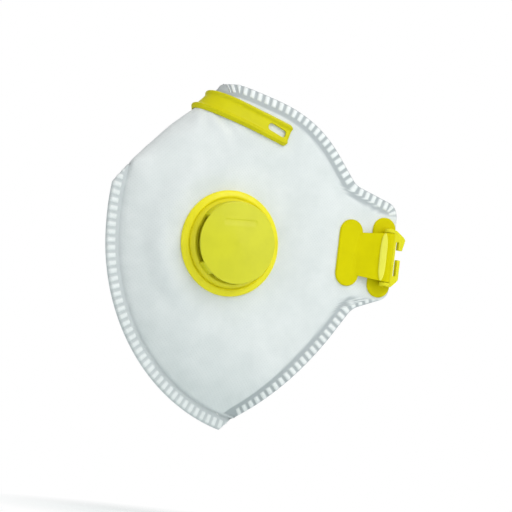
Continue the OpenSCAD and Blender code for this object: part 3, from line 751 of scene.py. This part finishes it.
# ---- Turned pieces of the valve
# The valve's own frame, as in the part's source: x runs back, y is up and z leaves the mask.
OUT = np.array([*turned_by(-HALF_ANGLE), 0])
BACK = np.array([-OUT[1], OUT[0], 0])
UP = np.array([0, 0, 1.0])
VALVE_ORIGIN = np.array([side_x(VALVE[0]), *VALVE])


def rounded_loop(corners, steps=4):
    """A closed section through corners (r, h, fillet), each corner rounded by its fillet."""
    loop = []
    for before, corner, after in zip(corners[-1:] + corners[:-1], corners, corners[1:] + corners[:1]):
        c = np.array(corner[:2], float)
        if corner[2] <= 0:
            loop.append(c)
            continue
        a = np.array(before[:2]) - c
        b = np.array(after[:2]) - c
        reach = min(corner[2], 0.45 * norm(a), 0.45 * norm(b))
        start = c + unit(a) * reach
        end = c + unit(b) * reach
        for t in np.linspace(0, 1, steps):
            loop.append((1 - t) ** 2 * start + 2 * t * (1 - t) * c + t ** 2 * end)
    return np.array(loop)


def closed_mesh(name, places, faces, material):
    """A new piece whose faces all point outwards."""
    obj = new_object(name, places, faces, [material])
    with editable(obj) as bm:
        bmesh.ops.remove_doubles(bm, verts=bm.verts, dist=0.001 * MM)
        bmesh.ops.recalc_face_normals(bm, faces=bm.faces)
    even_normals(obj)
    return obj


def turned(name, section, material, start=0.0, span=360.0, marks=None):
    """A section (r, h) turned about the valve's axis, all round or over a span of degrees.
    marks(x, y, h) gives the heights where something is pressed into the turned face."""
    whole = span == 360
    steps = 192 if whole else max(4, int(span / 2))
    angle = np.radians(start + span * np.arange(steps if whole else steps + 1) / steps)
    r, h = section.T
    x = np.multiply.outer(np.cos(angle), r)
    y = np.multiply.outer(np.sin(angle), r)
    z = np.broadcast_to(h, x.shape)
    if marks is not None:
        z = marks(x, y, z)
    places = VALVE_ORIGIN + x[..., None] * BACK + y[..., None] * UP + z[..., None] * OUT
    index = np.arange(x.size).reshape(x.shape)
    ends = [index[0].tolist(), index[-1, ::-1].tolist()]
    if whole:
        index = np.concatenate([index, index[:1]])
        ends = []
    beside = np.roll(index, -1, axis=1)
    quads = np.stack([index[:-1], beside[:-1], beside[1:], index[1:]], -1).reshape(-1, 4).tolist()
    return closed_mesh(name, places.reshape(-1, 3), quads + ends, material)


def prism(name, outline, low, high, material, edge=0.2):
    """An outline (x, y) in the valve's frame, drawn out between two heights, with rounded edges."""
    n = len(outline)
    x, y = np.array(outline).T
    flat = VALVE_ORIGIN + x[:, None] * BACK + y[:, None] * UP
    faces = [tuple(range(n))[::-1], tuple(range(n, 2 * n))]
    faces += [(k, (k + 1) % n, n + (k + 1) % n, n + k) for k in range(n)]
    obj = new_object(name, np.concatenate([flat + low * OUT, flat + high * OUT]), faces, [material])
    face_outwards(obj)
    round_edges(obj, edge, 3, 40)
    even_normals(obj)
    return obj


CAP_R = 17.2
CAP_H = 8.6  # height of the cap's rim above the fabric
CAP_T = 1.0
CAP_DOME = 1.8
DOME_POWER = 1.15  # between a cone, 1, and a round dome, 2
CAP_EDGE = 0.5  # the rounded rim outside the cone
WALL_TOP = 4.3  # the outlet windows lie between here and the cap
WALL_FOOT_R = 17.9
WALL_IN_R = 16.1
COVER_FOOT_R = 19.2
FLANGE_RIM_T = 1.1
LIP_R = 12.8
LIP_H = 3.0
NECK_R = 15.5
NECK_WALL = 1.2
NECK_END = -4.2
GRILLE_LOW = 0.4
GRILLE_TOP = 1.9
GRILLE_STEP = 0.05  # how much thinner the spokes are on each side
BLOCK_TOP = 2.6
GRILLE_RING_R = 8.0
GRILLE_HUB_R = 3.4
SPOKE_HALF_W = 0.75
SPOKES = 6
FLAP_HINGE = 10.2  # height of the flap's bead above the axis
RING_R = 20.5
WINDOW_ANGLE = 70.0
RING_T = 1.6
MARK_DEPTH = 0.23  # the shallow chord mark in the cap
MARK_DROP = 0.35  # from the flap's bead down to the mark
MARK_HALF_L = 7.2
MARK_SLOPE = 0.075


def dome(r):
    return CAP_DOME * (1 - np.power(r / (CAP_R - CAP_EDGE), DOME_POWER))


def hinge_mark(x, y, z):
    """The shallow chord pressed into the cap over the flap's hinge."""
    above = y - FLAP_HINGE + MARK_DROP - MARK_SLOPE * x
    # A steep upper wall and a gentle lower one.
    across = smooth(-3.2, -0.1, above) * (1 - smooth(-0.1, 0.2, above))
    along = 1 - smooth(MARK_HALF_L, MARK_HALF_L + 0.5, np.abs(x))
    return np.where(z > CAP_H - 0.3, z - MARK_DEPTH * across * along, z)


def valve_cover(material, shaded_skirt_material):
    """Low tapered skirt, three stretches of wall between the windows, and the coned cap."""
    foot = FLANGE_RIM_T
    skirt = rounded_loop([
        (17.5, foot, 0.1), (COVER_FOOT_R, foot, 0.1), (COVER_FOOT_R, foot + 0.85, 0.1), (18.7, 2.9, 0.7),
        (17.7, WALL_TOP, 0.5), (16.0, WALL_TOP - 0.7, 0.3), (17.1, 2.6, 0.3)])
    wall = rounded_loop([
        (WALL_FOOT_R, WALL_TOP - 0.6, 0), (CAP_R + 0.3, CAP_H - 0.15, 0.4),
        (WALL_IN_R, CAP_H - 0.15, 0), (WALL_IN_R, WALL_TOP - 0.6, 0)])
    top_r = np.linspace(0, CAP_R - CAP_EDGE, 110)
    top = np.stack([top_r, CAP_H + dome(top_r)], -1)
    rim = rounded_loop([
        (CAP_R - CAP_EDGE, CAP_H, 0), (CAP_R, CAP_H, 0.45), (CAP_R, CAP_H - CAP_T, 0.2),
        (CAP_R - 1, CAP_H - CAP_T, 0)])[1:]
    under_r = np.linspace(CAP_R - 1.2, 0, 24)
    under = np.stack([under_r, CAP_H - CAP_T + dome(under_r)], -1)
    # The cap, the walls and the skirt take darkened copies of the valve's yellow as painted shade.
    pieces = [turned("valve_cover_skirt", skirt, shaded_skirt_material),
              turned("valve_cover_cap", np.concatenate([top, rim, under]), material, marks=hinge_mark)]
    half_window = WINDOW_ANGLE / 2
    walls = ((half_window, 180 - WINDOW_ANGLE), (180 + half_window, 90 - WINDOW_ANGLE),
             (270 + half_window, 90 - WINDOW_ANGLE))
    for k, (start, span) in enumerate(walls):
        pieces.append(turned(f"valve_cover_wall_{k}", wall, material, start, span))
    return pieces


def valve_seat(material):
    """Flange, neck and sealing lip, with the inlet grille and the block that carries the flap's bead."""
    neck_in = NECK_R - NECK_WALL
    body = rounded_loop([
        (neck_in, NECK_END, 0.3), (NECK_R, NECK_END, 0.3), (NECK_R, 0.0, 0), (FLANGE_R, 0.02, 0.15),
        (FLANGE_R, FLANGE_RIM_T, 0.5), (FLANGE_R - 0.6, 1.65, 0.7), (COVER_FOOT_R + 0.8, 2.4, 0.8),
        (COVER_FOOT_R + 0.05, 1.8, 0.1), (COVER_FOOT_R + 0.1, 1.05, 0.1), (LIP_R + 0.7, 1.0, 0.3),
        (LIP_R, LIP_H, 0.15), (LIP_R - 0.7, LIP_H, 0.15), (LIP_R - 0.9, GRILLE_LOW, 0.2),
        (neck_in, -0.4, 0.3)])
    ring_in, ring_out = GRILLE_RING_R - SPOKE_HALF_W, GRILLE_RING_R + SPOKE_HALF_W
    ring = rounded_loop([
        (ring_in, GRILLE_LOW, 0.2), (ring_out, GRILLE_LOW, 0.2), (ring_out, GRILLE_TOP, 0.3),
        (ring_in, GRILLE_TOP, 0.3)])
    hub = rounded_loop([
        (0, GRILLE_LOW, 0), (GRILLE_HUB_R, GRILLE_LOW, 0.2), (GRILLE_HUB_R, GRILLE_TOP, 0.3),
        (0, GRILLE_TOP, 0)])
    pieces = [turned("valve_seat_body", body, material), turned("valve_seat_ring", ring, material),
              turned("valve_seat_hub", hub, material)]
    inner, outer = GRILLE_HUB_R - 0.4, LIP_R - 0.5
    low = GRILLE_LOW + GRILLE_STEP
    for k in range(SPOKES):
        cos, sin = turned_by(360 * k / SPOKES)
        sides = ((inner, -SPOKE_HALF_W), (outer, -SPOKE_HALF_W), (outer, SPOKE_HALF_W), (inner, SPOKE_HALF_W))
        outline = [(u * cos - v * sin, u * sin + v * cos) for u, v in sides]
        pieces.append(prism(f"valve_seat_spoke_{k}", outline, low, GRILLE_TOP - GRILLE_STEP, material))
    half = math.acos((FLAP_HINGE - 1.5) / outer)
    block = [(outer * math.sin(t), outer * math.cos(t)) for t in np.linspace(-half, half, 25)]
    pieces.append(prism("valve_seat_block", block, low, BLOCK_TOP, material, 0.25))
    return pieces


def retaining_ring(material):
    low = -FABRIC_T - RING_T
    section = rounded_loop([
        (NECK_R + 0.1, low + 0.5, 0.2), (NECK_R + 0.6, low, 0.2), (RING_R - 0.8, low, 0.4),
        (RING_R, low + 0.6, 0.4), (RING_R, -FABRIC_T, 0), (NECK_R + 0.1, -FABRIC_T, 0)])
    return [turned("valve_ring_turned", section, material)]


# ---- Rib beside each hinge barrel
STRAP_Z = -3.0
RIB_Y = 6.5
RIB_H = 5.5
RIB_HALF_L = 10.4
RIB_HALF_W = 1.4
RIB_TIP_HALF_W = 0.12
RIB_HALF_T = 0.6
RIB_TURN = 22.0  # the web's slope, in degrees


def hinge_rib(side, material):
    """A lens-shaped rib along the raised end of the strap pad's web."""
    sign = 1 if side == "left" else -1
    axis = np.array([side_x(0), 0, STRAP_Z]) + RIB_H * OUT + RIB_Y * BACK
    cos, sin = turned_by(RIB_TURN)
    outward = OUT * cos - BACK * sin
    rearward = BACK * cos + OUT * sin
    rows = []
    for share in np.linspace(-1, 1, 41):
        half_w = RIB_TIP_HALF_W + RIB_HALF_W * (1 - share ** 4) ** 0.75
        a = np.linspace(0, 2 * np.pi, 32, endpoint=False)
        across = half_w * squared(np.cos(a), 0.6)
        height = RIB_HALF_T * squared(np.sin(a), 0.5)
        row = axis + across[:, None] * rearward + height[:, None] * outward + share * RIB_HALF_L * UP
        rows.append(row * [sign, 1, 1])
    return closed_mesh(f"hinge_rib_{side}", np.concatenate(rows), tube_faces(rows), material)


# ---- Materials
def linear(colour):
    """A display colour, 0 to 255, as linear values."""
    shares = [c / 255 for c in colour]
    return tuple(c / 12.92 if c <= 0.04 else ((c + 0.055) / 1.055) ** 2.4 for c in shares) + (1,)


class Nodes:
    """Builds the node tree of a material or of the world."""

    def __init__(self, owner):
        owner.use_nodes = True
        self.owner = owner
        self.tree = owner.node_tree
        self.shader = self.tree.nodes.get("Principled BSDF")

    def put(self, socket, value):
        """Links a node's output to a socket, or sets the socket's own value."""
        if hasattr(value, "is_output"):
            self.tree.links.new(value, socket)
        else:
            socket.default_value = value

    def add(self, kind, settings=None, **sockets):
        """A new node; sockets are given by name, or by place as i0, i1 and so on."""
        node = self.tree.nodes.new("ShaderNode" + kind)
        for key, value in (settings or {}).items():
            setattr(node, key, value)
        for key, value in sockets.items():
            self.put(node.inputs[int(key[1:]) if key[1:].isdigit() else key.replace("_", " ")], value)
        return node

    def vector(self, operation, **sockets):
        return self.add("VectorMath", {"operation": operation}, **sockets).outputs

    def coords(self, scale=1000):
        """Places on the object, in millimetres by default."""
        source = self.add("TexCoord").outputs["Object"]
        return self.vector("SCALE", i0=source, Scale=scale)[0]

    def stretched(self, where, factors):
        return self.vector("MULTIPLY", i0=where, i1=factors)[0]

    def noise(self, where, scale, detail=3.0, rough=0.55):
        node = self.add("TexNoise", i0=where, Scale=scale, Detail=detail, Roughness=rough)
        return node.outputs["Fac"]

    def math(self, operation, a, b=0.0, c=0.0):
        return self.add("Math", {"operation": operation}, i0=a, i1=b, i2=c).outputs[0]

    def times(self, a, b):
        return self.math("MULTIPLY", a, b)

    def ramp(self, value, low, high, to_low=0.0, to_high=1.0):
        return self.add("MapRange", i0=value, i1=low, i2=high, i3=to_low, i4=to_high).outputs[0]

    def mix(self, share, a, b):
        """A colour between a and b. The node's colour sockets are i6, i7 and output 2."""
        return self.add("Mix", {"data_type": "RGBA"}, i0=share, i6=a, i7=b).outputs[2]

    def bump(self, height, strength, distance):
        return self.add("Bump", Strength=strength, Distance=distance, Height=height).outputs[0]

    def feed(self, **sockets):
        for key, value in sockets.items():
            self.put(self.shader.inputs[key.replace("_", " ")], value)
        return self.owner


def new_nodes(name):
    return Nodes(bpy.data.materials.new(name))


BEAD_WHITE = (250, 253, 253)


def nonwoven(name, light, dark, pressed, dot_pitch, dot_depth):
    """Spunbond fabric: fibres, cloudy density, bond points, and harder film where it is welded."""
    n = new_nodes(name)
    mm = n.coords()
    cloud = n.noise(mm, 0.09, 4)
    fibre = n.noise(mm, 1.9, 5, 0.7)
    strand = n.noise(n.stretched(mm, (1, 0.35, 2.6)), 1.3, 4, 0.5)
    # Bond points on a staggered grid.
    parts = n.add("SeparateXYZ", i0=mm).outputs
    u = n.times(n.math("ADD", parts["Y"], parts["Z"]), math.pi / dot_pitch)
    v = n.times(n.math("SUBTRACT", parts["Y"], parts["Z"]), math.pi / dot_pitch)
    dot = n.ramp(n.math("ABSOLUTE", n.times(n.math("COSINE", u), n.math("COSINE", v))), 0.62, 0.95)
    press = n.add("Attribute", {"attribute_name": "press"}).outputs["Fac"]
    free_dot = n.times(dot, n.math("SUBTRACT", 1.0, press))
    film = linear(pressed)
    base = n.mix(n.ramp(cloud, 0.35, 0.68), linear(dark), linear(light))
    base = n.mix(n.times(free_dot, 0.10), base, film)
    base = n.mix(n.ramp(fibre, 0.3, 0.75, 0.0, 0.10), base, (1, 1, 1, 1))
    base = n.mix(press, base, film)
    base = n.mix(n.times(press, -1.0), base, linear(BEAD_WHITE))
    height = n.math("ADD", n.times(fibre, 0.5), n.times(strand, 0.7))
    height = n.times(height, n.ramp(press, 0.0, 1.0, 1.0, 0.35))
    height = n.math("SUBTRACT", height, n.times(free_dot, dot_depth))
    return n.feed(Base_Color=base, Roughness=n.ramp(press, 0.0, 1.0, 0.92, 0.55),
                  Normal=n.bump(height, 0.35, 0.00012), Sheen_Weight=0.15, Sheen_Roughness=0.6,
                  Specular_IOR_Level=0.25)


def plastic(name, body, deep, rough=0.36, shine=0.3):
    """Moulded polypropylene: faint flow marks, fine spark-eroded grain and small scuffs."""
    n = new_nodes(name)
    mm = n.coords()
    flow = n.noise(mm, 0.12, 3)
    grains = n.noise(mm, 5.5, 4, 0.6)
    scuffed = n.ramp(n.noise(n.stretched(mm, (1, 6, 0.7)), 0.8, 5, 0.7), 0.62, 0.72)
    base = n.mix(n.ramp(flow, 0.3, 0.7), linear(deep), linear(body))
    base = n.mix(n.times(scuffed, 0.05), base, (1, 0.95, 0.3, 1))
    grained = n.ramp(grains, 0.3, 0.7, rough - 0.04, rough + 0.06)
    height = n.math("ADD", grains, n.times(flow, 0.4))
    return n.feed(Base_Color=base, Roughness=n.math("ADD", grained, n.times(scuffed, 0.12)),
                  Normal=n.bump(height, 0.25, 0.00003), Specular_IOR_Level=shine)


def silicone(name):
    """Thin milky silicone, a little cloudy."""
    n = new_nodes(name)
    mm = n.coords()
    cloud = n.noise(mm, 0.3, 3)
    base = n.mix(n.ramp(cloud, 0.3, 0.7), linear((128, 129, 119)), linear((146, 147, 138)))
    return n.feed(Base_Color=base, Roughness=n.ramp(cloud, 0.3, 0.7, 0.32, 0.42),
                  Normal=n.bump(n.noise(mm, 3, 3), 0.15, 0.00004), Specular_IOR_Level=0.4)


def wire(name):
    """Annealed wire with fine drawing marks."""
    n = new_nodes(name)
    drawn = n.noise(n.stretched(n.coords(), (0.3, 0.3, 6)), 2, 4)
    base = n.mix(n.ramp(drawn, 0.3, 0.7), linear((140, 141, 143)), linear((176, 177, 178)))
    return n.feed(Base_Color=base, Metallic=1.0, Roughness=n.ramp(drawn, 0.3, 0.7, 0.3, 0.45),
                  Normal=n.bump(drawn, 0.2, 0.00003))


def foam(name):
    """Closed-cell foam: small cells with paler walls."""
    n = new_nodes(name)
    cells = n.add("TexVoronoi", {"feature": "DISTANCE_TO_EDGE"}, i0=n.coords(), Scale=2.4)
    wall = n.ramp(cells.outputs["Distance"], 0.0, 0.12, 1.0, 0.0)
    base = n.mix(wall, linear((196, 199, 200)), linear((222, 224, 224)))
    return n.feed(Base_Color=base, Roughness=0.9, Normal=n.bump(wall, 0.6, 0.00015), Sheen_Weight=0.1)


cover_cloth = nonwoven("cover_nonwoven", (232, 236, 236), (223, 228, 228), (175, 182, 185), 1.5, 0.8)
lining_cloth = nonwoven("lining_nonwoven", (238, 239, 238), (230, 232, 231), (208, 213, 213), 2.2, 0.5)
flange_yellow = plastic("flange_yellow", (248, 238, 36), (241, 230, 30))
# The cover is the flange's yellow plastic. Its darker tones, deepest on the cap and walls and lighter on the
# skirt, are painted shade.
cover_shaded_yellow = plastic("cover_shaded_yellow", (220, 218, 24), (213, 211, 20), 0.42, 0.5)
skirt_shaded_yellow = plastic("skirt_shaded_yellow", (236, 226, 36), (229, 219, 30))
clip_yellow = plastic("clip_yellow", (220, 213, 3), (211, 204, 0), 0.45, 0.2)
# The ribs are the strap pads' own yellow plastic, made paler here as a painted highlight.
rib_painted_highlight = plastic("rib_painted_highlight", (243, 240, 90), (238, 234, 78), 0.45, 0.2)
buckle_yellow = plastic("buckle_yellow", (234, 228, 40), (227, 220, 32), 0.5, 0.12)
strip_yellow = plastic("strip_yellow", (221, 211, 0), (214, 204, 0), 0.55, 0.06)
flap_silicone = silicone("flap_silicone")
wire_metal = wire("wire_metal")
foam_cells = foam("foam_cells")


# ---- The mask's pieces
def across_fold(obj, *nodes):
    """The piece stays where it is, attached to no body, and stands for the CAD nodes named."""
    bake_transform(obj)
    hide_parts(*nodes)


LAYERS = ("outer_cover", "support_layer", "filter_layer", "inner_lining")
layer_nodes = [f"{layer}_{side}" for layer in LAYERS for side in ("left", "right")]
across_fold(fabric(cover_cloth, lining_cloth), *layer_nodes)
clip = strip("nose_clip_moulded", CLIP_WING, clip_section, clip_yellow, CLIP_ROUND)
cut_slots(clip)
across_fold(clip, "nose_clip")
for k, side in enumerate((-1, 1)):
    section = wire_section(side * WIRE_ACROSS)
    across_fold(strip(f"nose_wire_{k}", CLIP_WING - 1, section, wire_metal), "nose_clip_wires")
foam_strip = strip("nose_foam_strip", FOAM_WING, foam_section, foam_cells)
across_fold(foam_strip, "nose_foam")

ridden(valve_seat(flange_yellow), "valve_seat", "left_half")
ridden(valve_cover(cover_shaded_yellow, skirt_shaded_yellow), "valve_cover", "left_half")
ridden(retaining_ring(flange_yellow), "valve_retaining_ring", "left_half")
moulded("valve_diaphragm", "diaphragm", flap_silicone, 0.08, 1)
for side in ("left", "right"):
    moulded(f"strap_pad_{side}", f"{side}_half", strip_yellow, 0.25)
    # The rib's paler yellow is a painted highlight.
    ridden([hinge_rib(side, rib_painted_highlight)], f"strap_pad_{side}", f"{side}_half")
    moulded(f"buckle_{side}", f"buckle_{side}_body", buckle_yellow, 0.2)


# ---- Floor, light and camera
FLOOR_GLOW = 0.55  # how white the floor looks to the camera right under the mask
FLOOR_BELOW = 0.04  # the mask hangs this far above the floor


def background_material(name):
    """Pale floor that looks white to the camera and keeps the mask's shadow."""
    n = new_nodes(name)
    speck = n.noise(n.coords(), 0.02, 3)
    base = n.mix(n.ramp(speck, 0.3, 0.7), (0.85, 0.93, 0.93, 1), (0.88, 0.95, 0.95, 1))
    n.feed(Base_Color=base, Roughness=0.9, Specular_IOR_Level=0.1)
    ray = n.add("LightPath").outputs
    seen = n.math("MAXIMUM", ray["Is Camera Ray"], ray["Is Glossy Ray"])
    seen = n.math("MAXIMUM", seen, ray["Is Transmission Ray"])
    away = n.vector("LENGTH", i0=n.coords(1))["Value"]
    glow = n.add("Emission", Color=(1, 1, 1, 1), Strength=1.0)
    share = n.times(seen, n.ramp(away, 0.04, 0.10, FLOOR_GLOW, 1.0))
    both = n.add("MixShader", i0=share, i1=n.shader.outputs[0], i2=glow.outputs[0])
    n.put(n.tree.nodes["Material Output"].inputs["Surface"], both.outputs[0])
    return n.owner


low, high = cad_bounds
middle = Vector([(a + b) / 2 for a, b in zip(low, high)])
bpy.ops.mesh.primitive_plane_add(size=12, location=(0, -0.06, low[2] - FLOOR_BELOW))
floor = bpy.context.object
floor.name = "floor"
floor.data.materials.append(background_material("floor_white"))

WORLD_TINT = (0.96, 0.97, 0.98, 1)
WORLD_POWER = 0.45


def studio_world():
    """White to the camera, and softer for the light that reaches the mask."""
    n = Nodes(bpy.data.worlds.new("studio"))
    n.tree.nodes.clear()
    ray = n.add("LightPath").outputs
    shown = n.math("MAXIMUM", ray["Is Camera Ray"], ray["Is Transmission Ray"])
    soft = n.add("Background", Color=WORLD_TINT, Strength=WORLD_POWER)
    white = n.add("Background", Color=(1, 1, 1, 1), Strength=1.0)
    both = n.add("MixShader", i0=shown, i1=soft.outputs[0], i2=white.outputs[0])
    n.add("OutputWorld", Surface=both.outputs[0])
    return n.owner


bpy.context.scene.world = studio_world()


def direction(azimuth, elevation):
    """From the mask towards an azimuth and elevation in degrees, with 0 at its front."""
    a, e = math.radians(azimuth), math.radians(elevation)
    return Vector((math.sin(a) * math.cos(e), -math.cos(a) * math.cos(e), math.sin(e)))


def area_light(name, azimuth, elevation, distance, size, power, tint):
    """A round soft light that looks at the mask's middle."""
    data = bpy.data.lights.new(name, "AREA")
    data.shape = "DISK"
    data.size = size
    data.energy = power
    data.color = tint
    lamp = added(name, data)
    lamp.location = middle + direction(azimuth, elevation) * distance
    lamp.rotation_euler = (middle - lamp.location).to_track_quat("-Z", "Y").to_euler()


area_light("key", 108, 42, 0.7, 0.5, 2.15, (1.0, 1.0, 0.98))
area_light("side", 124, 2, 0.9, 0.6, 1.1, (0.97, 1.0, 1.0))
area_light("fill", 26, 2, 1.2, 0.9, 2.8, (0.97, 1.0, 0.99))
area_light("far", -120, 20, 1.2, 0.9, 3.0, (1.0, 1.0, 1.0))
area_light("crown", 10, 60, 0.8, 0.6, 0.3, (1.0, 0.88, 0.82))

AZIMUTH = 58.0
ELEVATION = -4.0
ROLL = math.radians(6.8)  # the mask leans this far clockwise in the picture
DISTANCE = 1.0
VIEW_W = 0.2166  # width of the view at the mask
SENSOR_W = 36.0
RIGHT_OF_VALVE = 0.0117  # the picture's middle, from the valve's
BELOW_VALVE = 0.0053
toward = direction(AZIMUTH, ELEVATION)
level = Vector((0, 0, 1)).cross(toward).normalized()
upright = toward.cross(level).normalized()
up = upright * math.cos(ROLL) - level * math.sin(ROLL)
right = level * math.cos(ROLL) + upright * math.sin(ROLL)
valve_low, valve_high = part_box("valve_seat")
target = (valve_low + valve_high) / 2 + right * RIGHT_OF_VALVE - up * BELOW_VALVE
camera_data = bpy.data.cameras.new("camera")
camera_data.sensor_width = SENSOR_W
camera_data.lens = SENSOR_W * DISTANCE / VIEW_W
camera = added("camera", camera_data)
turn = Matrix((right, up, toward)).transposed().to_4x4()
camera.matrix_world = Matrix.Translation(target + toward * DISTANCE) @ turn
bpy.context.scene.camera = camera
bpy.context.scene.view_settings.view_transform = "Standard"
